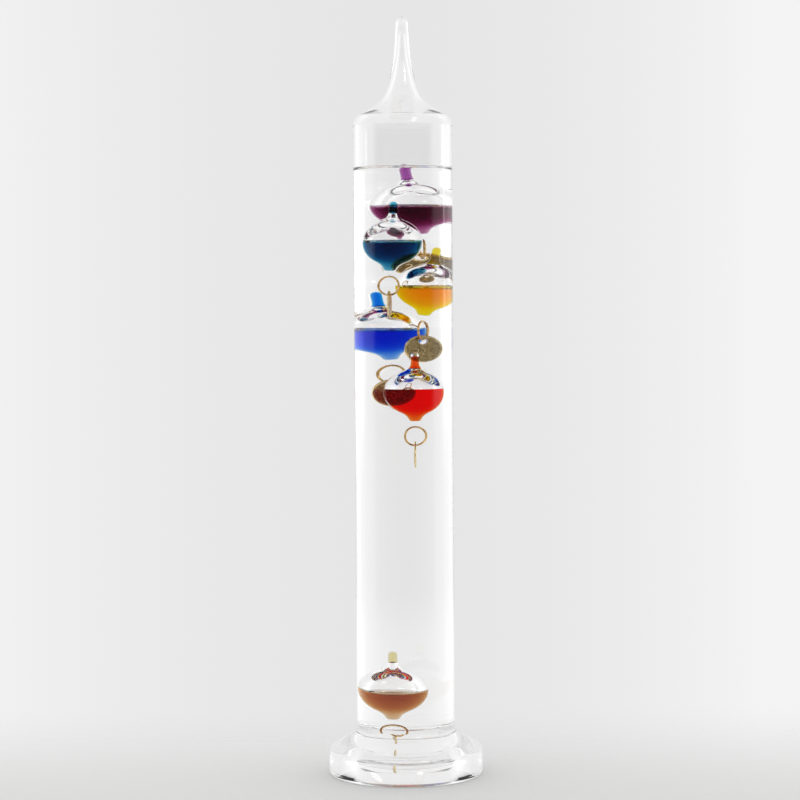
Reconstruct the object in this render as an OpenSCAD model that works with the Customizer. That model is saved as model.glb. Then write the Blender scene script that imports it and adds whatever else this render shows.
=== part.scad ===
// Galileo thermometer: a sealed glass tube on a thick glass foot, filled with clear liquid.
// Six half-filled glass floats rise and sink in it, each with a ring and a round tag below.
// The origin is the centre of the foot's underside, +Z is up, and the front is -Y.

/* [Tube] */
// Outer diameter of the tube
tube_d = 48; // [46:0.5:54]
// Glass wall of the tube
tube_wall = 1.8; // [1.2:0.1:2.2]
// Thickness of the tube's closed bottom
tube_bottom = 2.2; // [1.5:0.1:4]
// Height at which the straight tube ends and the shoulder starts
shoulder_z = 312.5; // [310:1:350]
// Height of the round shoulder
shoulder_h = 13.9; // [10:0.1:18]
// Height of the drawn tip above the shoulder
tip_h = 37.6; // [20:0.1:50]
// Diameter of the drawn tip near its end
tip_d = 5.7; // [5:0.1:8]

/* [Foot] */
// Diameter of the foot
foot_d = 74.6; // [66:0.2:90]
// Height of the foot's round rim
foot_rim_h = 12.6; // [10:0.1:16]
// Height at which the foot's cone meets the tube
foot_h = 22.4; // [20:0.1:30]
// Round on the foot's lower edge
foot_edge_r = 4.5; // [2:0.1:6]
// Round on the foot's upper rim
foot_rim_r = 1.4; // [0.5:0.1:2.5]
// Depth of the hollow under the foot
foot_hollow = 4.8; // [3:0.1:6]

/* [Filling] */
// Height of the liquid's surface
liquid_z = 294.6; // [285:0.2:300]
// Height that the liquid climbs at the glass
meniscus = 1.6; // [0.8:0.1:2.5]

/* [Floats] */
// Inner diameter of a float's round bulb
bulb_d = 21.7; // [20:0.1:22]
// Glass wall of a float
bulb_wall = 0.45; // [0.4:0.05:0.8]
// Inner diameter of a float's neck
neck_d = 3; // [2.4:0.1:3.6]
// Height of the neck's inner end above the bulb's centre
neck_reach = 19.3; // [18.5:0.1:20]
// Curve where the neck flares into the bulb
neck_flare = 8; // [5:0.5:10]
// Inner diameter of the nipple below the bulb
nipple_d = 3.8; // [3:0.1:4.4]
// Depth of the nipple's inner end below the bulb's centre
nipple_reach = 13.8; // [13:0.1:15]
// Curve where the nipple flares into the bulb
nipple_flare = 6; // [4:0.5:8]
// Length of the slug of coloured liquid in the neck
slug_h = 6; // [3:0.1:6.5]
// Height of the first float's tip above the liquid's surface
poke = 1; // [0:0.1:3]

/* [Eye, ring and tag] */
// Diameter of the glass rod that the eye is bent from
eye_rod = 1.5; // [1.1:0.1:1.7]
// Diameter of the hole in the eye
eye_hole = 1.9; // [1.7:0.1:2.4]
// Outer diameter of the wire ring
ring_d = 9.7; // [8.6:0.1:9.9]
// Diameter of the ring's wire
ring_wire = 0.86; // [0.6:0.02:1]
// Diameter of the tag
tag_d = 13; // [11.5:0.1:13.2]
// Thickness of the tag inside its rim
tag_h = 0.5; // [0.4:0.02:0.7]
// Height of the rim above each face of the tag
tag_lip = 0.06; // [0.04:0.01:0.12]
// Width of the tag's raised rim
tag_rim = 0.55; // [0.4:0.05:0.8]
// Width of the raised collar round the tag's hole
tag_collar = 0.5; // [0.3:0.05:0.8]
// Round on the tag's edges
tag_round = 0.15; // [0.1:0.01:0.2]
// Diameter of the hole in the tag
tag_hole = 2.8; // [2.4:0.1:3.2]
// Metal between the tag's hole and its edge
tag_land = 1.5; // [1:0.1:2]

/* [Clearances] */
// Gap between a float and the liquid round it
wet_gap = 0.15; // [0.1:0.01:0.2]
// Gap between a ring's wire and what it hangs in or carries
hang_gap = 0.18; // [0.12:0.01:0.2]
// Gap between the sunk float's tag and the tube's floor
rest_gap = 0.6; // [0.5:0.1:2]
// Least gap between a float and the tag of the float two above it
pass_gap = 0.6; // [0.5:0.1:2]

/* [Hidden] */
$fn = 96;

// The floats from the top down; the last one has sunk
order = ["purple", "teal", "orange", "blue", "red", "brown"];
last = len(order) - 1;
// The first float whose tag hangs free
first_hanging = 1;
function at(name) = search([name], order)[0];

tint = [[0.30, 0.10, 0.32], [0.05, 0.40, 0.60], [0.95, 0.52, 0.02],
  [0.20, 0.16, 0.78], [0.85, 0.12, 0.05], [0.55, 0.28, 0.18]];
// Where a float stands in the tube: its compass angle and how far its glass stays from the tube's
bearing = [74.65, -130.7, 10.24, 118.26, -50.3, 147.7];
inset = [0.32, 4.31, 2.47, 0.34, 4.79, 6.23];
// Gap between a float's glass and the glass of the float above it
space = [0, 1.82, 3.28, 3.65, 11.1];
// Lean of a float to its right, in degrees
lean = [-7.4, 3, 8, -7, 0, 0];
// Height of the coloured liquid above the bulb's centre
fill = [0.2, 0.7, 0.7, 0.9, 0.7, 0.5];
// Compass angle of the wire where the ring hangs, the ring's own swing, and the tag's facing
ring_turn = [106, -39, 77, -40, 35, 0];
ring_swing = [0, 0, 0, 0, 0, -49];
tag_turn = [106, -11, -64, -68, 5, 0];
// How far round its ring a tag has slid, which also tips it back; the first tag leans on the float below
tag_slip = [36, 0, 0, 0, 0, 0];

tube_r = tube_d / 2;
bore_r = tube_r - tube_wall;
floor_z = foot_hollow + tube_bottom;
// Round between the tube's floor and its wall, as a share of the bore
floor_r = bore_r * 0.18;
tip_top = shoulder_z + shoulder_h + tip_h;
// Length of solid glass at the tip, where it was fused
tip_solid = 6;
// Shoulder and tip curves, as shares of radius and height: the waist between them, then each handle
waist = 0.475;
shoulder_rise = 0.4;
shoulder_pull = [0.79, 0.54];
tip_sweep = [0.66, 0.096];
tip_pull = [0.12, 0.31];
foot_r = foot_d / 2;
// Round in which the foot's cone runs up to the tube
foot_cove = 2.6;
// Rim of the hollow under the foot, and its small step
hollow_r = tube_r + 2.6;
hollow_step = 0.6;
// Smallest overlap that keeps a cut clear of the face it starts from
over = 1;
// Slope of the foot's cone, the way it faces, and the centres of its rim and cove
cone = atan2(foot_h - foot_rim_h, foot_r - tube_r);
facing = [sin(cone), cos(cone)];
rim_c = [foot_r - foot_rim_r, foot_rim_h - foot_rim_r];
cove_c = [tube_r + foot_cove,
  (facing * rim_c + foot_rim_r + foot_cove - facing.x * (tube_r + foot_cove)) / facing.y];
bulb_r = bulb_d / 2;
glass_r = bulb_r + bulb_wall;
neck_r = neck_d / 2;
nipple_r = nipple_d / 2;
eye_bend = (eye_hole + eye_rod) / 2;
eye_z = nipple_reach + bulb_wall + eye_hole / 2 + eye_rod * 0.7;
hang_z = eye_z + eye_hole / 2 - ring_wire / 2 - hang_gap;
ring_bend = (ring_d - ring_wire) / 2;
tag_r = tag_d / 2;
// From the wire that a tag hangs on down to the tag's centre
tag_drop = tag_r - tag_land - ring_wire / 2 - hang_gap;
slug_low = neck_reach - slug_h;
// Dished lower end of the slug: its centre below the slug and its radius, as shares of the neck's
slug_dish = [0.8, 1.5];
// Thickness to which the liquid thins out where it climbs the glass
creep = 0.1;
far = 60;
curve_steps = 10;

function bezier(a, b, c, d, t) = pow(1 - t, 3) * a + 3 * t * pow(1 - t, 2) * b
  + 3 * t * t * (1 - t) * c + pow(t, 3) * d;
function sweep(a, b, c, d) = [for (i = [0 : curve_steps]) bezier(a, b, c, d, i / curve_steps)];

// Plan position and height of each float's bulb centre
function plan(i) = (bore_r - glass_r - inset[i]) * [cos(bearing[i]), sin(bearing[i])];
function stack_z(i) = i == 0 ? liquid_z + poke - neck_reach - bulb_wall
  : min(stack_z(i - 1) - fall(2 * glass_r + space[i], plan(i) - plan(i - 1)), below_tag(i));
// How far below a point another lies that is the given distance and plan offset away
function fall(distance, offset) = sqrt(max(0, pow(distance, 2) - pow(norm(offset), 2)));
// Highest place clear of the hanging tag two floats above; the first tag leans on its neighbour instead
function below_tag(i) = i - 2 < first_hanging ? liquid_z
  : hang(i - 2).z - 2 * ring_bend - tag_drop
    - fall(glass_r + tag_r + pass_gap, [hang(i - 2).x, hang(i - 2).y] - plan(i));
function sunk_z(i) = floor_z + rest_gap + tag_r + tag_drop
  + 2 * ring_bend * cos(ring_swing[i]) + hang_z;
function centre(i) = [plan(i).x, plan(i).y, i == last ? sunk_z(i) : stack_z(i)];
// Where the ring's wire hangs in the eye
function hang(i) = centre(i) + hang_z * [-sin(lean[i]), 0, -cos(lean[i])];

// Shoulder and drawn tip, seen as an outline of the given radius
module tube_outline(r, low, end_r, end_z) {
  waist_r = r - tube_r * (1 - waist);
  waist_z = shoulder_z + shoulder_h;
  polygon(concat([[0, low], [r, low]],
    sweep([r, shoulder_z], [r, shoulder_z + shoulder_h * shoulder_rise],
      [r * shoulder_pull.x, shoulder_z + shoulder_h * shoulder_pull.y], [waist_r, waist_z]),
    sweep([waist_r, waist_z], [waist_r * tip_sweep.x, waist_z + tip_h * tip_sweep.y],
      [end_r + waist_r * tip_pull.x, waist_z + tip_h * tip_pull.y], [end_r, end_z]),
    [[0, end_z]]));
  translate([0, end_z]) intersection() {
    circle(end_r);
    translate([0, -far / 2]) square([far, far]);
  }
}

module glass_tube() color("white", 0.3) rotate_extrude() difference() {
  tube_outline(tube_r, foot_hollow, tip_d / 2, tip_top);
  difference() {
    tube_outline(bore_r, floor_z, tip_d / 2 - tube_wall, tip_top - tip_solid);
    floor_corner();
  }
}

// The round between the tube's floor and its wall
module floor_corner() difference() {
  translate([bore_r - floor_r, floor_z - over]) square([floor_r + over, floor_r + over]);
  translate([bore_r - floor_r, floor_z + floor_r]) circle(floor_r);
}

module glass_foot() color("white", 0.4) rotate_extrude() difference() {
  union() {
    // Body with a round lower edge
    square([foot_r - foot_edge_r, foot_edge_r]);
    translate([foot_r - foot_edge_r, foot_edge_r]) circle(foot_edge_r);
    // Side, round rim, cone and the cove where the cone meets the tube
    translate(rim_c) circle(foot_rim_r);
    difference() {
      polygon([[0, foot_edge_r], [foot_r, foot_edge_r], [foot_r, rim_c.y],
        rim_c + foot_rim_r * facing, cove_c - foot_cove * facing, cove_c, [0, cove_c.y]]);
      translate(cove_c) circle(foot_cove);
    }
  }
  // Socket for the tube, and the hollow below it
  square([tube_r, far]);
  polygon([[0, -over], [hollow_r + hollow_step, -over], [hollow_r, hollow_step],
    [tube_r, foot_hollow], [0, foot_hollow]]);
}

module fill_liquid() color("azure", 0.25) difference() {
  rotate_extrude() difference() {
    translate([0, floor_z]) square([bore_r, liquid_z + meniscus - floor_z]);
    floor_corner();
    translate([0, liquid_z]) square([bore_r - meniscus - creep, far]);
    translate([bore_r - meniscus - creep, liquid_z + meniscus]) circle(meniscus);
  }
  for (i = [0 : last]) {
    place(i) {
      rotate_extrude() float_outline(bulb_wall + wet_gap);
      translate([0, 0, -eye_z]) turn_to(ring_turn[i])
        cylinder(r = eye_bend + eye_rod / 2 + wet_gap, h = eye_rod + 2 * wet_gap, center = true);
    }
    hang_ring(i) torus(ring_bend, ring_wire / 2 + wet_gap);
    hang_tag(i)
      cylinder(r = tag_r + wet_gap, h = tag_h + 2 * (tag_lip + wet_gap), center = true);
  }
}

// Moves a float from its own centre, neck up, to where it floats
module place(i) translate(centre(i)) rotate([0, lean[i], 0]) children();

// Lays a piece's axis level, along the given compass angle
module turn_to(angle) rotate([0, 90, angle]) children();

// A ring hangs by its wire, in the plane of that wire; a tag hangs by its hole
module on_ring(i) translate(hang(i)) rotate([0, 0, ring_turn[i]]) rotate([ring_swing[i], 0, 0])
  translate([0, 0, -ring_bend]) children();
module hang_ring(i) on_ring(i) rotate([90, 0, 0]) children();
module hang_tag(i) on_ring(i)
  translate(ring_bend * [sin(tag_slip[i]), 0, -cos(tag_slip[i])])
    rotate([-ring_swing[i], 0, 0]) rotate([0, 0, tag_turn[i] - ring_turn[i]])
      rotate([0, -tag_slip[i], 0]) translate([0, 0, -tag_drop]) turn_to(0) children();

module torus(bend, r) rotate_extrude() translate([bend, 0]) circle(r);

// Half outline of a float, grown by skin: bulb, neck and nipple with their flares
module float_outline(skin) intersection() {
  union() {
    circle(bulb_r + skin);
    flare(neck_r, neck_flare, neck_reach - neck_r, skin);
    translate([0, neck_reach - neck_r]) circle(neck_r + skin);
    mirror([0, 1]) flare(nipple_r, nipple_flare, nipple_reach + skin, skin);
  }
  translate([0, -far]) square([far, 2 * far]);
}

// A stem of radius r up to reach, and the hollow curve that joins it to the bulb
module flare(r, bend, reach, skin) {
  meet = [r + bend, sqrt(pow(bulb_r + bend, 2) - pow(r + bend, 2))];
  square([r + skin, reach]);
  intersection() {
    square([far, reach]);
    difference() {
      polygon([[0, 0], meet, [0, meet.y]]);
      translate(meet) circle(bend - skin);
    }
  }
}

module bulb(i) color("white", 0.3) place(i) difference() {
  union() {
    rotate_extrude() float_outline(bulb_wall);
    translate([0, 0, -eye_z]) turn_to(ring_turn[i]) torus(eye_bend, eye_rod / 2);
  }
  rotate_extrude() float_outline(0);
}

// The dye lies level, however its float leans
module dye(i) color(tint[i]) intersection() {
  place(i) rotate_extrude() float_outline(0);
  translate(centre(i) + [0, 0, fill[i] - far]) cylinder(r = bulb_r * 2, h = far);
}

// A slug that stays in the neck, with a hollow lower end
module neck_dye(i) color(tint[i]) place(i) rotate_extrude() intersection() {
  float_outline(0);
  difference() {
    translate([0, slug_low]) square([neck_r * 2, far]);
    translate([0, slug_low - slug_dish.x * neck_r]) circle(slug_dish.y * neck_r);
  }
}

module ring(i) color("goldenrod") hang_ring(i) torus(ring_bend, ring_wire / 2);

module tag(i) color("darkgoldenrod") hang_tag(i) difference() {
  rim_h = tag_h + 2 * tag_lip;
  hole_at = [tag_land + tag_hole / 2 - tag_r, 0, 0];
  union() {
    cylinder(r = tag_r - tag_rim / 2, h = tag_h, center = true);
    // Raised rim with bevelled edges
    rotate_extrude() translate([tag_r - tag_rim, -rim_h / 2])
      polygon([[0, 0], [tag_rim - tag_round, 0], [tag_rim, tag_round], [tag_rim, rim_h - tag_round],
        [tag_rim - tag_round, rim_h], [0, rim_h]]);
    // Raised collar round the hole
    translate(hole_at) cylinder(r = tag_hole / 2 + tag_collar, h = tag_h + tag_lip, center = true);
  }
  translate(hole_at) cylinder(d = tag_hole, h = far, center = true);
}

glass_tube();
glass_foot();
fill_liquid();
bulb(at("purple"));  // purple_bulb
dye(at("purple"));  // purple_dye
neck_dye(at("purple"));  // purple_neck_dye
ring(at("purple"));  // purple_ring
tag(at("purple"));  // purple_tag
bulb(at("teal"));  // teal_bulb
dye(at("teal"));  // teal_dye
neck_dye(at("teal"));  // teal_neck_dye
ring(at("teal"));  // teal_ring
tag(at("teal"));  // teal_tag
bulb(at("orange"));  // orange_bulb
dye(at("orange"));  // orange_dye
neck_dye(at("orange"));  // orange_neck_dye
ring(at("orange"));  // orange_ring
tag(at("orange"));  // orange_tag
bulb(at("blue"));  // blue_bulb
dye(at("blue"));  // blue_dye
neck_dye(at("blue"));  // blue_neck_dye
ring(at("blue"));  // blue_ring
tag(at("blue"));  // blue_tag
bulb(at("red"));  // red_bulb
dye(at("red"));  // red_dye
neck_dye(at("red"));  // red_neck_dye
ring(at("red"));  // red_ring
tag(at("red"));  // red_tag
bulb(at("brown"));  // brown_bulb
dye(at("brown"));  // brown_dye
neck_dye(at("brown"));  // brown_neck_dye
ring(at("brown"));  // brown_ring
tag(at("brown"));  // brown_tag
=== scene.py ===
import math
import bpy
from mathutils import Euler, Matrix, Vector


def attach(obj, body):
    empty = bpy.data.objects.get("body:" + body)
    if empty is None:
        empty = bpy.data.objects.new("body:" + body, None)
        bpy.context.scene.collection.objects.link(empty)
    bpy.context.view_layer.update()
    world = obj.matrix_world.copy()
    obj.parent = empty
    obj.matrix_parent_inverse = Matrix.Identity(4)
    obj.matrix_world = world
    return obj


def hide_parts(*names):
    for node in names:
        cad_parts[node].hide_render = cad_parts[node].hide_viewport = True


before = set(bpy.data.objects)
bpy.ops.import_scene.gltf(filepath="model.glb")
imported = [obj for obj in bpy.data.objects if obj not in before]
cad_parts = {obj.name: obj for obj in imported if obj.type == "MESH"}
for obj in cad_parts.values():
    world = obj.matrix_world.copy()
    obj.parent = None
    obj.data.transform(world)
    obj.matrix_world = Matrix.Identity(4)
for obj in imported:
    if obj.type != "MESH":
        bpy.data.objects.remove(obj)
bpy.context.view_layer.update()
print("frame loaded")

# Lengths below are in millimetres, z up from the floor, and x to the right of the photograph
mm = 0.001
roundSteps = 144
opticalGap = 0.012  # keeps two surfaces that touch from lying in one another


def clearSelection():
    if bpy.context.object and bpy.context.object.mode != "OBJECT":
        bpy.ops.object.mode_set(mode="OBJECT")
    bpy.ops.object.select_all(action="DESELECT")


def only(piece):
    clearSelection()
    piece.select_set(True)
    bpy.context.view_layer.objects.active = piece


def editAll(piece):
    only(piece)
    bpy.ops.object.mode_set(mode="EDIT")
    bpy.ops.mesh.select_all(action="SELECT")


def editFaces(piece, test):
    # goes into edit mode with the faces selected that pass the test on their middle and normal
    only(piece)
    for vertex in piece.data.vertices:
        vertex.select = False
    for edge in piece.data.edges:
        edge.select = False
    for face in piece.data.polygons:
        face.select = bool(test(face.center / mm, face.normal))
    bpy.ops.object.mode_set(mode="EDIT")
    bpy.ops.mesh.select_mode(type="FACE")


def leaveEdit():
    bpy.ops.object.mode_set(mode="OBJECT")


def spinOutline(name, points, steps=0, inwards=False):
    # draws the half outline edge by edge, spins it round the tube's axis and closes its poles
    clearSelection()
    r, z = points[0]
    bpy.ops.mesh.primitive_plane_add(size=mm, location=(r * mm, 0, z * mm))
    piece = bpy.context.object
    piece.name = name
    bpy.ops.object.transform_apply(location=True, rotation=True, scale=True)
    bpy.ops.object.mode_set(mode="EDIT")
    bpy.ops.mesh.select_all(action="SELECT")
    bpy.ops.mesh.merge(type="CENTER")
    bpy.ops.mesh.select_mode(type="VERT")
    bpy.ops.mesh.select_all(action="SELECT")
    for rNext, zNext in points[1:]:
        step = ((rNext - r) * mm, 0, (zNext - z) * mm)
        bpy.ops.mesh.extrude_region_move(TRANSFORM_OT_translate={"value": step})
        r, z = rNext, zNext
    bpy.ops.mesh.select_all(action="SELECT")
    bpy.ops.mesh.spin(steps=steps or roundSteps, angle=2 * math.pi, center=(0, 0, 0), axis=(0, 0, 1))
    bpy.ops.mesh.select_all(action="SELECT")
    bpy.ops.mesh.remove_doubles(threshold=0.0004 * mm)
    bpy.ops.mesh.normals_make_consistent(inside=inwards)
    leaveEdit()
    return piece


def join(first, *others):
    clearSelection()
    for piece in others:
        piece.select_set(True)
    first.select_set(True)
    bpy.context.view_layer.objects.active = first
    bpy.ops.object.join()
    return first


def copyOf(piece, name):
    twin = piece.copy()
    twin.data = piece.data.copy()
    twin.name = name
    bpy.context.collection.objects.link(twin)
    return twin


def settle(piece, place=(0, 0, 0), turn=(0, 0, 0)):
    # moves the piece to its place in millimetres and applies it, so that the object stays at the origin
    piece.rotation_euler = Euler([math.radians(a) for a in turn])
    piece.location = Vector(place) * mm
    only(piece)
    bpy.ops.object.transform_apply(location=True, rotation=True, scale=True)
    return piece


def applyModifier(piece, kind, **values):
    only(piece)
    modifier = piece.modifiers.new(kind.title(), kind)
    for key, value in values.items():
        setattr(modifier, key, value)
    bpy.ops.object.modifier_apply(modifier=modifier.name)


def paint(piece, materials, choose):
    # one slot for each material; choose gives the slot of a face from its middle and normal
    piece.data.materials.clear()
    for material in materials:
        piece.data.materials.append(material)
    for face in piece.data.polygons:
        face.material_index = choose(face.center / mm, face.normal)


def smooth(piece, angle=35):
    only(piece)
    bpy.ops.object.shade_smooth_by_angle(angle=math.radians(angle))


def arc(centre, radius, start, end, count):
    # points on an arc in an outline, angles in degrees from the outward direction
    points = []
    for i in range(count + 1):
        a = math.radians(start + (end - start) * i / count)
        points.append((centre[0] + radius * math.cos(a), centre[1] + radius * math.sin(a)))
    return points


def bezier(a, b, c, d, count):
    points = []
    for i in range(count + 1):
        t = i / count
        w = ((1 - t) ** 3, 3 * t * (1 - t) ** 2, 3 * t * t * (1 - t), t ** 3)
        points.append(tuple(sum(k * p[n] for k, p in zip(w, (a, b, c, d))) for n in (0, 1)))
    return points


def tidyOutline(points):
    # drops points that repeat the one before
    kept = [points[0]]
    for p in points[1:]:
        if math.dist(p, kept[-1]) > 0.002:
            kept.append(p)
    return kept


def newMaterial(name):
    material = bpy.data.materials.new(name)
    material.use_nodes = True
    nodes = material.node_tree.nodes
    shader = next(n for n in nodes if n.type == "BSDF_PRINCIPLED")
    return material, nodes, material.node_tree.links, shader


def addRipple(nodes, links, shader, ripple):
    # slow unevenness of drawn or blown glass, as a bump on the piece's own coordinates
    where = nodes.new("ShaderNodeTexCoord")
    stretch = nodes.new("ShaderNodeMapping")
    stretch.inputs["Scale"].default_value = ripple["scale"]
    noise = nodes.new("ShaderNodeTexNoise")
    noise.inputs["Scale"].default_value = 1.0
    noise.inputs["Detail"].default_value = ripple["detail"]
    bump = nodes.new("ShaderNodeBump")
    bump.inputs["Strength"].default_value = ripple["strength"]
    bump.inputs["Distance"].default_value = ripple["depth"] * mm
    links.new(where.outputs["Object"], stretch.inputs["Vector"])
    links.new(stretch.outputs["Vector"], noise.inputs["Vector"])
    links.new(noise.outputs["Fac"], bump.inputs["Height"])
    links.new(bump.outputs["Normal"], shader.inputs["Normal"])


def glassMaterial(name, index, ripple=None, tone=(1, 1, 1)):
    # index is the ratio of the medium behind the face to the medium in front of it
    material, nodes, links, shader = newMaterial(name)
    shader.inputs["Base Color"].default_value = (*tone, 1)
    shader.inputs["Roughness"].default_value = 0.0
    shader.inputs["IOR"].default_value = index
    shader.inputs["Transmission Weight"].default_value = 1.0
    if ripple:
        addRipple(nodes, links, shader, ripple)
    return material


# Indices of refraction of what the rays pass through
optics = {"glass": 1.505, "filling": 1.495, "bulb": 1.53, "dye": 1.50}
tubeRipple = {"scale": (60, 60, 9), "detail": 2.0, "strength": 0.25, "depth": 0.02}
footRipple = {"scale": (45, 45, 45), "detail": 2.0, "strength": 0.3, "depth": 0.03}
floatRipple = {"scale": (160, 160, 160), "detail": 1.0, "strength": 0.3, "depth": 0.02}

tubeGlass = glassMaterial("tubeGlass", optics["glass"], tubeRipple)
tubeGlassWet = glassMaterial("tubeGlassWet", optics["glass"] / optics["filling"])
fusedGlass = glassMaterial("fusedGlass", 1.0)
footGlass = glassMaterial("footGlass", optics["glass"], footRipple)
liquidSurface = glassMaterial("liquidSurface", optics["filling"])
liquidSide = glassMaterial("liquidSide", 1.0)
floatGlass = glassMaterial("floatGlass", optics["bulb"] / optics["filling"], floatRipple)
floatGlassDry = glassMaterial("floatGlassDry", optics["bulb"])
floatGlassWet = glassMaterial("floatGlassWet", optics["bulb"] / optics["dye"])
dyeSurface = glassMaterial("dyeSurface", optics["dye"])
dyeFilm = glassMaterial("dyeFilm", 1.0)
print("glass materials made")

# Tube: straight wall, round shoulder, drawn tip and closed bottom
tube = {
    "outer": 24.0, "wall": 1.8, "base": 4.8, "floor": 7.0, "corner": 3.996,
    "shoulder": 312.5, "shoulderRise": 13.9, "tipRise": 37.6, "tipRadius": 2.85, "tipSolid": 6.0,
    "waist": 0.475, "heel": 5.0, "seamTop": 23.02, "innerDrop": 1.4,
}
# Curve of the shoulder: up from the wall, in over a shelf, and up again into the tip. A handle is (inwards, up)
shoulder = {
    "start": 1.0, "shelf": 5.7, "bend": 2.4, "waistSink": 0.6, "bendShrink": 0.5, "waistShrink": 0.7,
    "wallHandle": 2.3, "bendHandle": (0.3, -1.0), "shelfHandle": (2.4, 1.43), "waistHandle": (9.8, 4.2),
    "tipLow": (0.66, 0.096), "tipHigh": (0.12, 0.31),
}
tube["bore"] = tube["outer"] - tube["wall"]
tube["top"] = tube["shoulder"] + tube["shoulderRise"] + tube["tipRise"]


def tubeTop(radius, endRadius, endHeight, drop=0.0):
    # the shoulder and the drawn tip above the straight tube, up to the pole
    waistHeight = tube["shoulder"] + tube["shoulderRise"] - shoulder["waistSink"] - drop * shoulder["waistShrink"]
    waist = (radius - tube["outer"] * (1 - tube["waist"]), waistHeight)
    start = tube["shoulder"] + shoulder["start"]
    shelf = start + shoulder["shelf"] - drop
    bend = shoulder["bend"] - drop * shoulder["bendShrink"]
    bendIn, bendUp = shoulder["bendHandle"]
    shelfIn, shelfUp = shoulder["shelfHandle"]
    waistIn, waistUp = shoulder["waistHandle"]
    lowWidth, lowRise = shoulder["tipLow"]
    highWidth, highRise = shoulder["tipHigh"]
    points = bezier((radius, start), (radius, shelf - shoulder["wallHandle"]),
                    (radius - bend * bendIn, shelf + bendUp), (radius - bend, shelf), 12)
    points += bezier((radius - bend, shelf), (radius - bend - shelfIn, shelf + shelfUp),
                     (radius - waistIn, shelf + waistUp), waist, 14)[1:]
    points += bezier(waist, (waist[0] * lowWidth, waistHeight + tube["tipRise"] * lowRise),
                     (endRadius + waist[0] * highWidth, waistHeight + tube["tipRise"] * highRise),
                     (endRadius, endHeight), 30)[1:]
    points += arc((0, endHeight), endRadius, 0, 90, 8)[1:]
    return points[:-1] + [(0, points[-1][1])]


outside = [(0, tube["base"])]
outside += arc((tube["outer"] - tube["heel"], tube["base"] + tube["heel"]), tube["heel"], -90, 0, 12)
outside += [(tube["outer"], 14), (tube["outer"], tube["seamTop"])]
outside += [(tube["outer"], z) for z in range(30, 311, 20)]
outside += tubeTop(tube["outer"], tube["tipRadius"], tube["top"])
liquidTop = {"level": 292.9, "climb": 1.6, "creep": 0.1}
wetTop = liquidTop["level"] + liquidTop["climb"]
inside = [(0, tube["floor"])]
inside += arc((tube["bore"] - tube["corner"], tube["floor"] + tube["corner"]), tube["corner"], -90, 0, 10)
inside += [(tube["bore"], z) for z in range(20, 281, 20)] + [(tube["bore"], wetTop)]
inside += tubeTop(tube["bore"], tube["tipRadius"] - tube["wall"], tube["top"] - tube["tipSolid"], tube["innerDrop"])
tubeShell = spinOutline("tube", tidyOutline(outside))
tubeBore = spinOutline("tubeBore", tidyOutline(inside), inwards=True)
seamLow = tube["base"] + tube["heel"]  # the foot is fused to the wall above this height
tubeLooks = [tubeGlass, tubeGlassWet, fusedGlass]
paint(tubeShell, tubeLooks,
      lambda c, n: 2 if seamLow - 0.3 < c.z < tube["seamTop"] and math.hypot(c.x, c.y) > tube["outer"] - 0.2 else 0)
paint(tubeBore, tubeLooks, lambda c, n: 1 if c.z < wetTop else 0)
tubePiece = join(tubeShell, tubeBore)
smooth(tubePiece)
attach(tubePiece, "vessel")
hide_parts("glass_tube")
print("tube made")

# Foot: thick glass ring with a round rim, fused to the tube, with a hollow below
foot = {
    "radius": 37.3, "rimHeight": 13.4, "coneHeight": 21.6, "edge": 2.0, "rim": 1.6, "cove": 2.6,
    "hollow": 4.8, "hollowRadius": 26.6, "lipRadius": 26.825, "lipRise": 0.6,
}
slope = math.atan2(foot["coneHeight"] - foot["rimHeight"], foot["radius"] - tube["outer"])
outwards, upwards = math.sin(slope), math.cos(slope)
rimCentre = (foot["radius"] - foot["rim"], foot["rimHeight"] - foot["rim"])
coneReach = outwards * rimCentre[0] + upwards * rimCentre[1] + foot["rim"]
coveX = tube["outer"] + foot["cove"]
coveZ = (coneReach + foot["cove"] - outwards * coveX) / upwards
slopeAngle = math.degrees(math.atan2(upwards, outwards))
seam = tube["outer"] + opticalGap
section = [(seam, coveZ)]
section += arc((coveX, coveZ), foot["cove"], 180, 180 + slopeAngle, 10)[1:]
section += arc(rimCentre, foot["rim"], slopeAngle, 0, 10)
section += arc((foot["radius"] - foot["edge"], foot["edge"]), foot["edge"], 0, -90, 14)
section += [(foot["lipRadius"], 0), (foot["hollowRadius"], foot["lipRise"]), (seam, foot["hollow"])]
section += [(seam, seamLow), (seam, coveZ)]
footPiece = spinOutline("foot", tidyOutline(section))
paint(footPiece, [footGlass, fusedGlass],
      lambda c, n: 1 if math.hypot(c.x, c.y) < seam + 0.02 and c.z > seamLow else 0)
smooth(footPiece)
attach(footPiece, "vessel")
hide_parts("glass_foot")
print("foot made")

# Clear filling, with the curve in which it climbs the glass
side = tube["bore"] - opticalGap
low = tube["floor"] + opticalGap
level, climb, creep = liquidTop["level"], liquidTop["climb"], liquidTop["creep"]
filling = [(0, low)]
filling += arc((side - tube["corner"], low + tube["corner"]), tube["corner"], -90, 0, 10)
filling += [(side, 150), (side, level + climb)]
filling += arc((side - climb - creep, level + climb), climb, 0, -90, 12)
filling += [(12, level), (6, level), (0, level)]
liquid = spinOutline("liquid", tidyOutline(filling))

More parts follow.
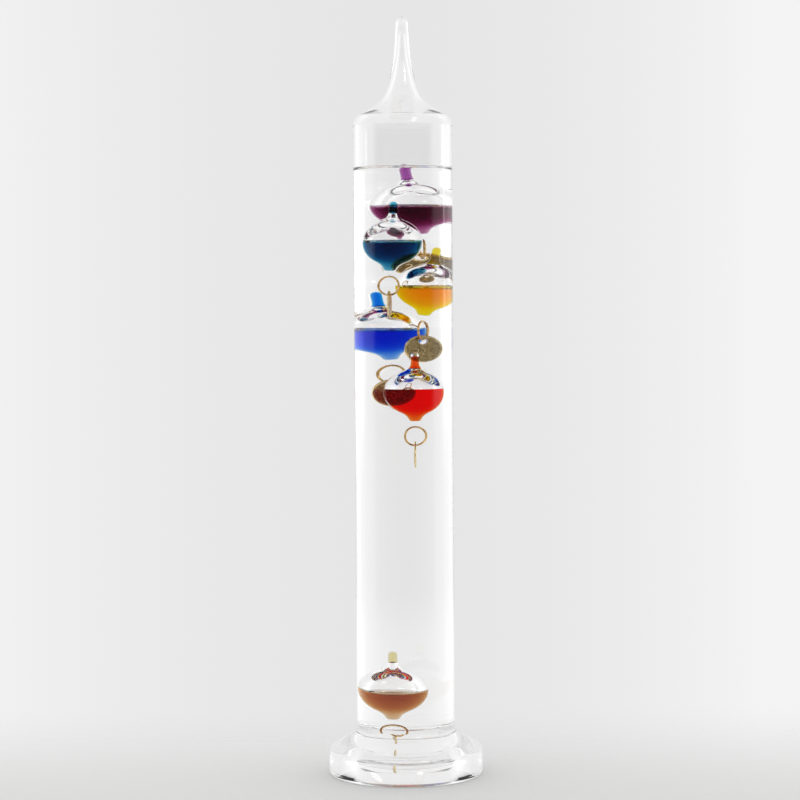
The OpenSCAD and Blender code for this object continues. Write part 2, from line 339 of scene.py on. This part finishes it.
# Where each float hangs and how far it leans, in degrees. fill is the dye's level above the bulb's middle, and slug
# the lower and upper end of the dye in the neck (0 where it fills the neck's top). ring is the ring's compass turn
# and its swing, tag the tag's compass turn and how far it has slipped round the wire, mark its temperature
floats = {
    "purple": {"centre": (2.8, 10.2, 275.85), "lean": -7.4, "fill": 0.25, "slug": (12.6, 0),
               "ring": (106, 0), "tag": (106, 36), "mark": "26"},
    "teal": {"centre": (-4.3, -5.0, 258.1), "lean": 3, "fill": 0.7, "slug": (13.6, 0),
             "ring": (-39, 0), "tag": (-11, 0), "mark": "24"},
    "orange": {"centre": (8.3, 1.5, 236.45), "lean": 8, "fill": 0.75, "slug": (11.0, 0),
               "ring": (77, 0), "tag": (-64, 0), "mark": "22"},
    "blue": {"centre": (-5.0, 9.3, 215.2), "lean": -7, "fill": 1.6, "slug": (12.2, 0),
             "ring": (-40, 0), "tag": (-68, 0), "mark": "20"},
    "red": {"centre": (3.9, -4.7, 185.87), "lean": 0, "fill": 1.6, "slug": (11.4, 17.3),
            "ring": (35, 0), "tag": (5, 0), "mark": "18"},
    "brown": {"centre": (-3.95, 2.5, 40.88), "lean": 0, "fill": 0.5, "slug": (13.9, 0),
              "ring": (0, -49), "tag": (0, 0), "mark": "16"},
}
floatShape = {
    "bulb": 10.85, "wall": 0.45, "neck": 1.5, "neckReach": 19.3, "neckFlare": 4.5,
    "nipple": 1.9, "nippleReach": 13.8, "nippleFlare": 6.0, "dish": 0.6,
    "dyeRise": 0.15, "dyeSag": 2.0, "dyeCurve": 0.9, "endSoft": 0.5,
    "dyeRings": (0.12, 0.26, 0.45, 0.7, 1.0, 1.4, 1.9, 2.6, 3.6, 5.0, 7.0),
    "dishRings": (0, 0.25, 0.45, 0.62, 0.76, 0.88, 1), "skinNear": 0.006, "skinFar": 0.018,
    "eyeRod": 0.75, "eyeHole": 0.95, "eyeSink": 1.4,
}
floatShape["eyeBend"] = floatShape["eyeHole"] + floatShape["eyeRod"]
nippleEnd = floatShape["nippleReach"] + floatShape["wall"]
floatShape["eyeDrop"] = nippleEnd + floatShape["eyeHole"] + floatShape["eyeSink"] * floatShape["eyeRod"]


def floatOutline(skin):
    # half outline of a float from the nipple's end to the neck's top, grown by skin
    def flare(radius, bend):
        centre = (radius + bend, math.sqrt((floatShape["bulb"] + bend) ** 2 - (radius + bend) ** 2))
        return centre, math.degrees(math.atan2(centre[1], centre[0]))

    nippleCentre, nippleAngle = flare(floatShape["nipple"], floatShape["nippleFlare"])
    neckCentre, neckAngle = flare(floatShape["neck"], floatShape["neckFlare"])
    end = -(floatShape["nippleReach"] + skin)
    soft = floatShape["endSoft"]
    points = [(0, end)] + arc((floatShape["nipple"] + skin - soft, end + soft), soft, -90, 0, 4)
    down = arc((nippleCentre[0], -nippleCentre[1]), floatShape["nippleFlare"] - skin, 180, 180 - nippleAngle, 8)
    points += [p for p in down if p[1] > end + soft]
    points += arc((0, 0), floatShape["bulb"] + skin, -nippleAngle, neckAngle, 40)
    points += arc(neckCentre, floatShape["neckFlare"] - skin, 180 + neckAngle, 180, 10)
    tip = floatShape["neckReach"] - floatShape["neck"]
    points += arc((0, tip), floatShape["neck"] + skin, 0, 90, 8)
    return tidyOutline(points[:-1] + [(0, points[-1][1])])


def neckRadius(z):
    # inner radius of the neck at a height above the bulb's centre
    bend = floatShape["neck"] + floatShape["neckFlare"]
    straight = math.sqrt((floatShape["bulb"] + floatShape["neckFlare"]) ** 2 - bend ** 2)
    if z >= straight:
        return floatShape["neck"]
    return bend - math.sqrt(floatShape["neckFlare"] ** 2 - (straight - z) ** 2)


def dishCurve(edge, depth):
    # a liquid's hollow end across the neck, from the middle to the glass
    r = neckRadius(edge) - opticalGap
    return [(r * t, edge + depth * (1 - t * t)) for t in floatShape["dishRings"]]


def thinSkin(curve, first, second):
    # a closed skin that follows a curve at two small distances above it
    near = [(r, z + first) for r, z in curve]
    far = [(r, z + second) for r, z in reversed(curve)]
    return spinOutline("skin", near + far, 48)


# One float's glass with its eye, its inner face and the body of its dye, to copy for all six
skinPiece = spinOutline("floatSkin", floatOutline(floatShape["wall"]))
bpy.ops.mesh.primitive_torus_add(major_segments=48, minor_segments=20, major_radius=floatShape["eyeBend"] * mm,
                                 minor_radius=floatShape["eyeRod"] * mm, rotation=(0, math.pi / 2, 0),
                                 location=(0, 0, -floatShape["eyeDrop"] * mm))
eye = bpy.context.object
only(eye)
bpy.ops.object.transform_apply(location=True, rotation=True, scale=True)
applyModifier(skinPiece, "BOOLEAN", object=eye, operation="UNION", solver="EXACT")
bpy.data.objects.remove(eye)
borePiece = spinOutline("floatBore", floatOutline(0), inwards=True)
dyeCore = spinOutline("dyeCore", floatOutline(-opticalGap))
print("float patterns made")


def dyeMaterial(name, takes):
    # a clear volume that takes its colour from the depth of liquid
    material, nodes, links, shader = newMaterial(name)
    shader.inputs["Roughness"].default_value = 0.0
    shader.inputs["IOR"].default_value = 1.0
    shader.inputs["Transmission Weight"].default_value = 1.0
    volume = nodes.new("ShaderNodeVolumeAbsorption")
    volume.inputs["Color"].default_value = (*[1 - t / max(takes) for t in takes], 1)
    volume.inputs["Density"].default_value = max(takes)
    output = next(n for n in nodes if n.type == "OUTPUT_MATERIAL")
    links.new(volume.outputs["Volume"], output.inputs["Volume"])
    return material


# How strongly each dye takes red, green and blue light, per metre
dyes = {
    "purple": (160.0, 400.0, 236.0),
    "teal": (600.0, 235.0, 140.0),
    "orange": (1.0, 66.0, 1000.0),
    "blue": (420.0, 210.0, 19.0),
    "red": (1.0, 430.0, 1000.0),
    "brown": (55.0, 152.0, 290.0),
}
slugDyes = {
    "purple": (300.0, 780.0, 290.0),
    "teal": (1100.0, 280.0, 130.0),
    "orange": (2.0, 90.0, 1500.0),
    "blue": (2200.0, 560.0, 24.0),
    "red": (2.0, 800.0, 1700.0),
    "brown": (20.0, 60.0, 300.0),
}


def metalMaterial(name, look):
    material, nodes, links, shader = newMaterial(name)
    where = nodes.new("ShaderNodeTexCoord")
    tarnish = nodes.new("ShaderNodeTexNoise")
    tarnish.inputs["Scale"].default_value = look["patch"]
    tarnish.inputs["Detail"].default_value = 4.0
    ramp = nodes.new("ShaderNodeValToRGB")
    ramp.color_ramp.elements[0].position = 0.35
    ramp.color_ramp.elements[0].color = (*look["dark"], 1)
    ramp.color_ramp.elements[1].position = 0.65
    ramp.color_ramp.elements[1].color = (*look["light"], 1)
    grain = nodes.new("ShaderNodeTexNoise")
    grain.inputs["Scale"].default_value = look["grain"]
    rough = nodes.new("ShaderNodeMapRange")
    rough.inputs["To Min"].default_value = look["rough"][0]
    rough.inputs["To Max"].default_value = look["rough"][1]
    bump = nodes.new("ShaderNodeBump")
    bump.inputs["Strength"].default_value = 0.2
    bump.inputs["Distance"].default_value = 0.02 * mm
    links.new(where.outputs["Object"], tarnish.inputs["Vector"])
    links.new(where.outputs["Object"], grain.inputs["Vector"])
    links.new(tarnish.outputs["Fac"], ramp.inputs["Fac"])
    links.new(ramp.outputs["Color"], shader.inputs["Base Color"])
    links.new(grain.outputs["Fac"], rough.inputs["Value"])
    links.new(rough.outputs["Result"], shader.inputs["Roughness"])
    links.new(grain.outputs["Fac"], bump.inputs["Height"])
    links.new(bump.outputs["Normal"], shader.inputs["Normal"])
    shader.inputs["Metallic"].default_value = 1.0
    return material


# patch and grain are the scales of the tarnish and of the fine grain
metals = {
    "ringBrass": {"dark": (0.52, 0.31, 0.12), "light": (0.86, 0.62, 0.30), "patch": 260,
                  "grain": 2500, "rough": (0.16, 0.32)},
    # the tag's raised rim and figures: polished brass with low roughness, painted lighter as a painted highlight
    "tagPolishAndPaintedHighlight": {"dark": (0.80, 0.60, 0.28), "light": (0.98, 0.84, 0.52), "patch": 420,
                 "grain": 2600, "rough": (0.16, 0.30)},
    # the tag's sunk field: darker and rougher than the raised rim and figures
    "tagDarkerField": {"dark": (0.24, 0.17, 0.07), "light": (0.50, 0.38, 0.18), "patch": 1100,
                  "grain": 3600, "rough": (0.30, 0.50)},
}
ringMetal, tagHighlightMetal, tagField = [metalMaterial(name, look) for name, look in metals.items()]
print("dye and metal values set")

# Wire ring and round tag
ringSize = {"bend": 4.42, "wire": 0.43, "cutTurn": 17, "cutHalf": 0.6, "cutWidth": 0.045, "cutPinch": 0.86}
tagSize = {"radius": 6.5, "half": 0.25, "lip": 0.06, "lipWidth": 0.55, "soft": 0.15, "holeRadius": 1.4, "land": 1.5,
           "collar": 0.5, "markHeight": 4.6, "markRise": 0.1, "markLow": 1.5}
hangGap = 0.18  # how far a wire stays from what it hangs on
hangDrop = floatShape["eyeDrop"] + floatShape["eyeHole"] - ringSize["wire"] - hangGap
tagDrop = tagSize["radius"] - tagSize["land"] - ringSize["wire"] - hangGap


def makeRing(name):
    clearSelection()
    bpy.ops.mesh.primitive_torus_add(major_segments=96, minor_segments=20, major_radius=ringSize["bend"] * mm,
                                     minor_radius=ringSize["wire"] * mm)
    piece = bpy.context.object
    piece.name = name
    # the cut where the wire's two ends meet
    editAll(piece)
    bpy.ops.transform.rotate(value=math.radians(ringSize["cutTurn"]), orient_axis="Z", center_override=(0, 0, 0))
    for angle in (-ringSize["cutHalf"], ringSize["cutHalf"]):
        a = math.radians(angle)
        bpy.ops.mesh.select_all(action="SELECT")
        bpy.ops.mesh.bisect(plane_co=(0, 0, 0), plane_no=(-math.sin(a), math.cos(a), 0))
    leaveEdit()
    editFaces(piece, lambda c, n: c.x > 0 and abs(c.y) < ringSize["cutWidth"])
    bpy.ops.transform.resize(value=(1, 1, ringSize["cutPinch"]), center_override=(ringSize["bend"] * mm, 0, 0))
    leaveEdit()
    return piece


def makeTag(name, mark):
    half, lip, r = tagSize["half"], tagSize["lip"], tagSize["radius"]
    soft, width = tagSize["soft"], tagSize["lipWidth"]
    top = half + lip
    points = [(0, -half), (r - width - 0.1, -half), (r - width, -top), (r - soft, -top), (r, -top + soft)]
    points += [(x, -z) for x, z in reversed(points)]
    piece = spinOutline(name, points, 96)
    holeX = tagSize["land"] + tagSize["holeRadius"] - r
    for radius, height, operation in ((tagSize["holeRadius"] + tagSize["collar"], 2 * half + lip, "UNION"),
                                      (tagSize["holeRadius"], 4.0, "DIFFERENCE")):
        clearSelection()
        bpy.ops.mesh.primitive_cylinder_add(vertices=48, radius=radius * mm, depth=height * mm,
                                            location=(holeX * mm, 0, 0))
        cutter = bpy.context.object
        only(cutter)
        bpy.ops.object.transform_apply(location=True, rotation=True, scale=True)
        applyModifier(piece, "BOOLEAN", object=cutter, operation=operation, solver="EXACT")
        bpy.data.objects.remove(cutter)
    # the temperature, raised on both faces; up on the tag is -x here
    for flip in (0, 180):
        clearSelection()
        bpy.ops.object.text_add(location=(0, 0, 0))
        words = bpy.context.object
        words.data.body = mark + "°"
        words.data.size = tagSize["markHeight"] * mm
        words.data.align_x = "CENTER"
        words.data.align_y = "CENTER"
        words.data.extrude = 0.5 * (half + tagSize["markRise"]) * mm
        words.data.resolution_u = 4
        only(words)
        bpy.ops.object.convert(target="MESH")
        words = bpy.context.object
        middle = 0.5 * (half + tagSize["markRise"])
        settle(words, (0, 0, middle))
        settle(words, (tagSize["markLow"], 0, 0), (0, 0, 90))
        if flip:
            settle(words, (0, 0, 0), (180, 0, 0))
        join(piece, words)
    fieldEdge = tagSize["radius"] - tagSize["lipWidth"] - 0.05

    def onField(c, n):
        return abs(abs(c.z) - half) < 0.01 and abs(n.z) > 0.9 and math.hypot(c.x, c.y) < fieldEdge

    # the raised rim and figures get the lighter brass, a painted highlight; the sunk field gets the darker brass
    paint(piece, [tagHighlightMetal, tagField], lambda c, n: 1 if onField(c, n) else 0)
    return piece


def addFloat(name, place):
    centre, lean = place["centre"], place["lean"]
    turn, swing = place["ring"]
    tagTurn, slip = place["tag"]
    wetLevel = place["fill"] + floatShape["dyeRise"]
    slugLow, slugHigh = place["slug"]
    slugTop = slugHigh or 99
    # glass: outer face with the eye, inner face cut where the dye ends
    glass = copyOf(skinPiece, name + "Bulb")
    settle(glass, turn=(0, 0, turn))
    bore = copyOf(borePiece, name + "Bore")
    settle(glass, turn=(0, lean, 0))
    settle(bore, turn=(0, lean, 0))
    editAll(bore)
    bpy.ops.mesh.bisect(plane_co=(0, 0, wetLevel * mm), plane_no=(0, 0, 1))
    leaveEdit()
    axis = Vector((math.sin(math.radians(lean)), 0, math.cos(math.radians(lean))))
    materials = [floatGlass, floatGlassDry, floatGlassWet]
    paint(glass, materials, lambda c, n: 0)
    for height in (slugLow, slugHigh):
        if height:
            editAll(bore)
            bpy.ops.mesh.bisect(plane_co=axis * height * mm, plane_no=axis)
            leaveEdit()
    paint(bore, materials, lambda c, n: 2 if c.z < wetLevel or slugLow < c.dot(axis) < slugTop else 1)
    join(glass, bore)
    smooth(glass)
    settle(glass, centre)
    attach(glass, name + "_float")
    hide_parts(name + "_bulb")
    # coloured liquid, level in its leaning float and curved up at the glass
    dyeLook = dyeMaterial(name + "Dye", dyes[name])
    slugLook = dyeMaterial(name + "SlugDye", slugDyes[name])
    looks = [dyeLook, dyeSurface, dyeFilm]
    dye = copyOf(dyeCore, name + "DyeBody")
    settle(dye, turn=(0, lean, 0))
    editAll(dye)
    bpy.ops.mesh.bisect(plane_co=(0, 0, wetLevel * mm), plane_no=(0, 0, 1), use_fill=True, clear_outer=True)
    leaveEdit()
    editFaces(dye, lambda c, n: n.z > 0.99 and abs(c.z - wetLevel) < 0.05)
    before = sunk = 0.0
    for distance in floatShape["dyeRings"]:
        sink = floatShape["dyeSag"] * (1 - math.exp(-distance / floatShape["dyeCurve"]))
        bpy.ops.mesh.inset(thickness=(distance - before) * mm, depth=(sunk - sink) * mm)
        before, sunk = distance, sink
    leaveEdit()
    surfaceLow = wetLevel - floatShape["dyeSag"] - 0.1
    editFaces(dye, lambda c, n: n.z > 0.02 and c.z > surfaceLow and c.length < floatShape["bulb"] - 0.045)
    bpy.ops.mesh.duplicate()
    bpy.ops.transform.translate(value=(0, 0, floatShape["skinNear"] * mm))
    bpy.ops.mesh.separate(type="SELECTED")
    leaveEdit()
    film = next(o for o in bpy.context.selected_objects if o != dye)
    applyModifier(film, "SOLIDIFY", thickness=0.01 * mm, offset=1.0)
    paint(dye, looks, lambda c, n: 0)
    paint(film, looks, lambda c, n: 1 if n.z > 0.02 else 2)
    join(dye, film)
    smooth(dye, 60)
    settle(dye, centre)
    dye.name = name + "Dye"
    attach(dye, name + "_float")
    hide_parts(name + "_dye")
    # slug of the same liquid, caught in the neck, with a skin on each free end that bends light
    lowEnd = dishCurve(slugLow, floatShape["dish"])
    if slugHigh:
        highEnd = dishCurve(slugHigh, -floatShape["dish"])
        heights = [slugLow + (slugHigh - slugLow) * i / 8 for i in range(1, 8)]
        outline = lowEnd + [(neckRadius(z) - opticalGap, z) for z in heights] + highEnd[::-1]
    else:
        outline = lowEnd + [p for p in floatOutline(-opticalGap) if p[1] > slugLow + 0.05]
    slug = spinOutline(name + "Slug", tidyOutline(outline), 48)
    looks[0] = slugLook
    paint(slug, looks, lambda c, n: 0)
    skins = [thinSkin(lowEnd, -floatShape["skinNear"], -floatShape["skinFar"])]
    paint(skins[0], looks, lambda c, n: 1 if n.z < -0.02 else 2)
    if slugHigh:
        skins.append(thinSkin(highEnd, floatShape["skinFar"], floatShape["skinNear"]))
        paint(skins[1], looks, lambda c, n: 1 if n.z > 0.02 else 2)
    join(slug, *skins)
    smooth(slug, 60)
    settle(slug, centre, (0, lean, 0))
    slug.name = name + "Slug"
    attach(slug, name + "_float")
    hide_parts(name + "_neck_dye")
    # ring, hanging by its wire in the eye
    hang = Vector(centre) - hangDrop * axis
    ring = makeRing(name + "Ring")
    paint(ring, [ringMetal], lambda c, n: 0)
    smooth(ring)
    settle(ring, (0, 0, -ringSize["bend"]), (90, 0, 0))
    settle(ring, (0, 0, 0), (swing, 0, 0))
    settle(ring, hang, (0, 0, turn))
    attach(ring, name + "_ring_link")
    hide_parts(name + "_ring")
    # tag, hanging by its hole on the ring, and tipped back where it has slipped round the wire
    slipAngle, swingAngle = math.radians(slip), math.radians(swing)
    reach = ringSize["bend"] * (1 + math.cos(slipAngle))
    onRing = Vector((ringSize["bend"] * math.sin(slipAngle), reach * math.sin(swingAngle),
                     -reach * math.cos(swingAngle)))
    wirePoint = hang + Matrix.Rotation(math.radians(turn), 3, "Z") @ onRing
    tag = makeTag(name + "Tag", place["mark"])
    smooth(tag, 30)
    settle(tag, turn=(0, 90, 0))
    settle(tag, (0, 0, -tagDrop))
    settle(tag, (0, 0, 0), (0, -slip, 0))
    settle(tag, wirePoint, (0, 0, tagTurn))
    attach(tag, name + "_tag_link")
    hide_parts(name + "_tag")
    print(name, "float made")


for floatName, place in floats.items():
    addFloat(floatName, place)
for pattern in (skinPiece, borePiece, dyeCore):
    bpy.data.objects.remove(pattern)

# The top float's neck stands through the surface, so the surface is open round it
top = floats["purple"]
opening = {"gap": 0.06, "depth": 12, "rise": 2.5}
openRadius = floatShape["neck"] + floatShape["wall"] + opening["gap"]
clearSelection()
bpy.ops.mesh.primitive_cylinder_add(vertices=48, radius=openRadius * mm, depth=opening["depth"] * mm,
                                    location=(0, 0, (floatShape["neckReach"] + opening["rise"]) * mm))
well = bpy.context.object
only(well)
bpy.ops.object.transform_apply(location=True, rotation=True, scale=True)
settle(well, top["centre"], (0, top["lean"], 0))
applyModifier(liquid, "BOOLEAN", object=well, operation="DIFFERENCE", solver="EXACT")
bpy.data.objects.remove(well)
paint(liquid, [liquidSide, liquidSurface],
      lambda c, n: 1 if c.z > level - 0.01 and n.z > 0.03 and math.hypot(c.x, c.y) < side - 0.06 else 0)
smooth(liquid)
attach(liquid, "vessel")
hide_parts("fill_liquid")
print("liquid made")

# Pale floor that fades into the background behind the object
floorLook = {"radius": 900, "tone": (0.74, 0.74, 0.735), "near": -0.10, "far": 0.20, "ringFrom": 0.35,
             "ringTo": 0.8, "throughGlass": 0.72, "dim": 0.85, "rough": 0.9, "gloss": 0.1}
clearSelection()
bpy.ops.mesh.primitive_circle_add(vertices=96, radius=floorLook["radius"] * mm, fill_type="NGON")
floor = bpy.context.object
floor.name = "floor"
material, nodes, links, shader = newMaterial("paleFloor")


def mathNode(operation, *values, clamp=False):
    node = nodes.new("ShaderNodeMath")
    node.operation = operation
    node.use_clamp = clamp
    for socket, value in zip(node.inputs, values):
        if isinstance(value, (int, float)):
            socket.default_value = value
        else:
            links.new(value, socket)
    return node.outputs[0]


def ramp(value, start, end, low=0.0, high=1.0):
    # goes smoothly from low to high while the value goes from start to end
    node = nodes.new("ShaderNodeMapRange")
    node.interpolation_type = "SMOOTHSTEP"
    for socket, number in (("From Min", start), ("From Max", end), ("To Min", low), ("To Max", high)):
        node.inputs[socket].default_value = number
    links.new(value, node.inputs["Value"])
    return node.outputs["Result"]


def bentRays():
    # the Light Path node, and 1 for a ray that comes from a reflection or through glass
    path = nodes.new("ShaderNodeLightPath")
    return path, mathNode("MAXIMUM", path.outputs["Is Glossy Ray"], path.outputs["Is Transmission Ray"])


def colourSocket(sockets, name):
    # a Mix node has several sockets of one name, so the type tells which
    return next(s for s in sockets if s.name == name and s.type == "RGBA")


shader.inputs["Roughness"].default_value = floorLook["rough"]
shader.inputs["Specular IOR Level"].default_value = floorLook["gloss"]
where = nodes.new("ShaderNodeTexCoord")
split = nodes.new("ShaderNodeSeparateXYZ")
reach = nodes.new("ShaderNodeVectorMath")
reach.operation = "LENGTH"
links.new(where.outputs["Object"], split.inputs[0])
links.new(where.outputs["Object"], reach.inputs[0])
fade = mathNode("MULTIPLY", ramp(split.outputs["Y"], floorLook["near"], floorLook["far"], 1.0, 0.0),
                ramp(reach.outputs["Value"], floorLook["ringFrom"], floorLook["ringTo"], 1.0, 0.0))
links.new(fade, shader.inputs["Alpha"])
path, bent = bentRays()
links.new(mathNode("MULTIPLY", bent, floorLook["throughGlass"]), shader.inputs["Emission Strength"])
shader.inputs["Emission Color"].default_value = (1, 1, 1, 1)
tone = nodes.new("ShaderNodeMix")
tone.data_type = "RGBA"
links.new(mathNode("MULTIPLY", bent, floorLook["dim"]), tone.inputs[0])
colourSocket(tone.inputs, "A").default_value = (*floorLook["tone"], 1)
colourSocket(tone.inputs, "B").default_value = (0, 0, 0, 1)
links.new(colourSocket(tone.outputs, "Result"), shader.inputs["Base Color"])
floor.data.materials.append(material)

# Soft studio round the object: bright behind and to both sides, dim on the camera's side, with a few narrow lights.
# seen is the plain background, which brightens to its left and right; the rest is what glass and metal show.
# Each light has its compass angle from the back towards the right, its half width, its slopes and its strength
studio = {"back": 0.83, "sides": 0.30, "sidesFade": (66, 80), "front": 0.11, "frontReach": (-0.50, -0.10),
          "frontHeight": (0.12, 0.17), "seen": 0.791, "seenLeft": 2.9, "seenRight": 4.6, "seenMost": 0.9,
          "light": 0.98, "softWidth": (0.6, 1.2), "softSlope": 0.05}
lights = [
    {"angle": 58, "width": 20, "from": -0.03, "to": 0.12, "strength": 0.30},
    {"angle": 66, "width": 14, "from": -0.6, "to": -0.03, "strength": 0.16},
    {"angle": 70, "width": 4, "from": -0.03, "to": 0.12, "strength": 1.4},
    {"angle": -50, "width": 16, "from": -0.03, "to": 0.12, "strength": 0.2},
    {"angle": -62, "width": 10, "from": -0.6, "to": -0.03, "strength": 0.10},
    {"angle": 150, "width": 7, "from": 0.42, "to": 0.62, "strength": 5.0},
]
world = bpy.data.worlds.new("studio")
bpy.context.scene.world = world
world.use_nodes = True
nodes, links = world.node_tree.nodes, world.node_tree.links
background = next(n for n in nodes if n.type == "BACKGROUND")
direction = nodes.new("ShaderNodeTexCoord")
split = nodes.new("ShaderNodeSeparateXYZ")
links.new(direction.outputs["Generated"], split.inputs[0])
across, along, upward = split.outputs["X"], split.outputs["Y"], split.outputs["Z"]
acrossSquare = mathNode("MULTIPLY", across, across)
alongSquare = mathNode("MULTIPLY", along, along)
sideways = mathNode("DIVIDE", acrossSquare, mathNode("ADD", mathNode("ADD", acrossSquare, alongSquare), 1e-5))
compass = mathNode("ARCTAN2", across, along)
fadeFrom, fadeTo = [math.radians(angle) for angle in studio["sidesFade"]]
besides = ramp(mathNode("ABSOLUTE", compass), fadeFrom, fadeTo, studio["sides"], 0.0)
around = mathNode("ADD", studio["back"], mathNode("MULTIPLY", sideways, besides))
behindCamera = mathNode("MULTIPLY", ramp(along, *studio["frontReach"], 1.0, 0.0),
                        ramp(mathNode("ABSOLUTE", upward), *studio["frontHeight"], 1.0, 0.0))
cameraSide = ramp(behindCamera, 0.0, 1.0, 1.0, studio["front"])
throughGlass = mathNode("MULTIPLY", around, cameraSide)
soft = studio["softSlope"]
innerWidth, outerWidth = studio["softWidth"]
for light in lights:
    away = mathNode("ABSOLUTE", mathNode("SUBTRACT", compass, math.radians(light["angle"])))
    width = math.radians(light["width"])
    beam = ramp(away, width * innerWidth, width * outerWidth, light["strength"], 0.0)
    beam = mathNode("MULTIPLY", beam, ramp(upward, light["from"] - soft, light["from"] + soft))
    beam = mathNode("MULTIPLY", beam, ramp(upward, light["to"] - soft, light["to"] + soft, 1.0, 0.0))
    throughGlass = mathNode("ADD", throughGlass, beam)
seen = studio["seen"]
for half, amount in (("LESS_THAN", studio["seenLeft"]), ("GREATER_THAN", studio["seenRight"])):
    gain = mathNode("MULTIPLY", mathNode("MULTIPLY", mathNode(half, across, 0.0), acrossSquare), amount)
    seen = mathNode("ADD", seen, gain)
seen = mathNode("MINIMUM", seen, studio["seenMost"])
path, bent = bentRays()
straight = mathNode("MULTIPLY", path.outputs["Is Camera Ray"], 1.0)
other = mathNode("SUBTRACT", mathNode("SUBTRACT", 1.0, bent), straight, clamp=True)
total = mathNode("ADD", mathNode("MULTIPLY", bent, throughGlass), mathNode("MULTIPLY", straight, seen))
total = mathNode("ADD", total, mathNode("MULTIPLY", other, studio["light"]))
links.new(total, background.inputs["Strength"])
background.inputs["Color"].default_value = (1, 1, 1, 1)
print("floor and studio made")

# Camera at the photograph's viewing angle
view = {"distance": 1100.0, "height": 222.0, "aside": -1.96, "aim": 181.9, "roll": -0.33,
        "focal": 102.08, "sensor": 36.0, "nearest": 0.05, "farthest": 20.0}
cameraData = bpy.data.cameras.new("camera")
camera = bpy.data.objects.new("camera", cameraData)
bpy.context.collection.objects.link(camera)
cameraData.sensor_width = view["sensor"]
cameraData.lens = view["focal"]
cameraData.clip_start = view["nearest"]
cameraData.clip_end = view["farthest"]
pitch = math.atan2(view["height"] - view["aim"], view["distance"])
camera.location = Vector((view["aside"], -view["distance"], view["height"])) * mm
tilt = Matrix.Rotation(math.pi / 2 - pitch, 4, "X")
roll = Matrix.Rotation(math.radians(view["roll"]), 4, "Z")
camera.rotation_euler = (tilt @ roll).to_euler()
scene = bpy.context.scene
scene.camera = camera
scene.view_settings.view_transform = "Standard"
# many nested glass faces need many bounces
scene.cycles.max_bounces = 64
scene.cycles.transmission_bounces = 64
scene.cycles.glossy_bounces = 16
scene.cycles.transparent_max_bounces = 32
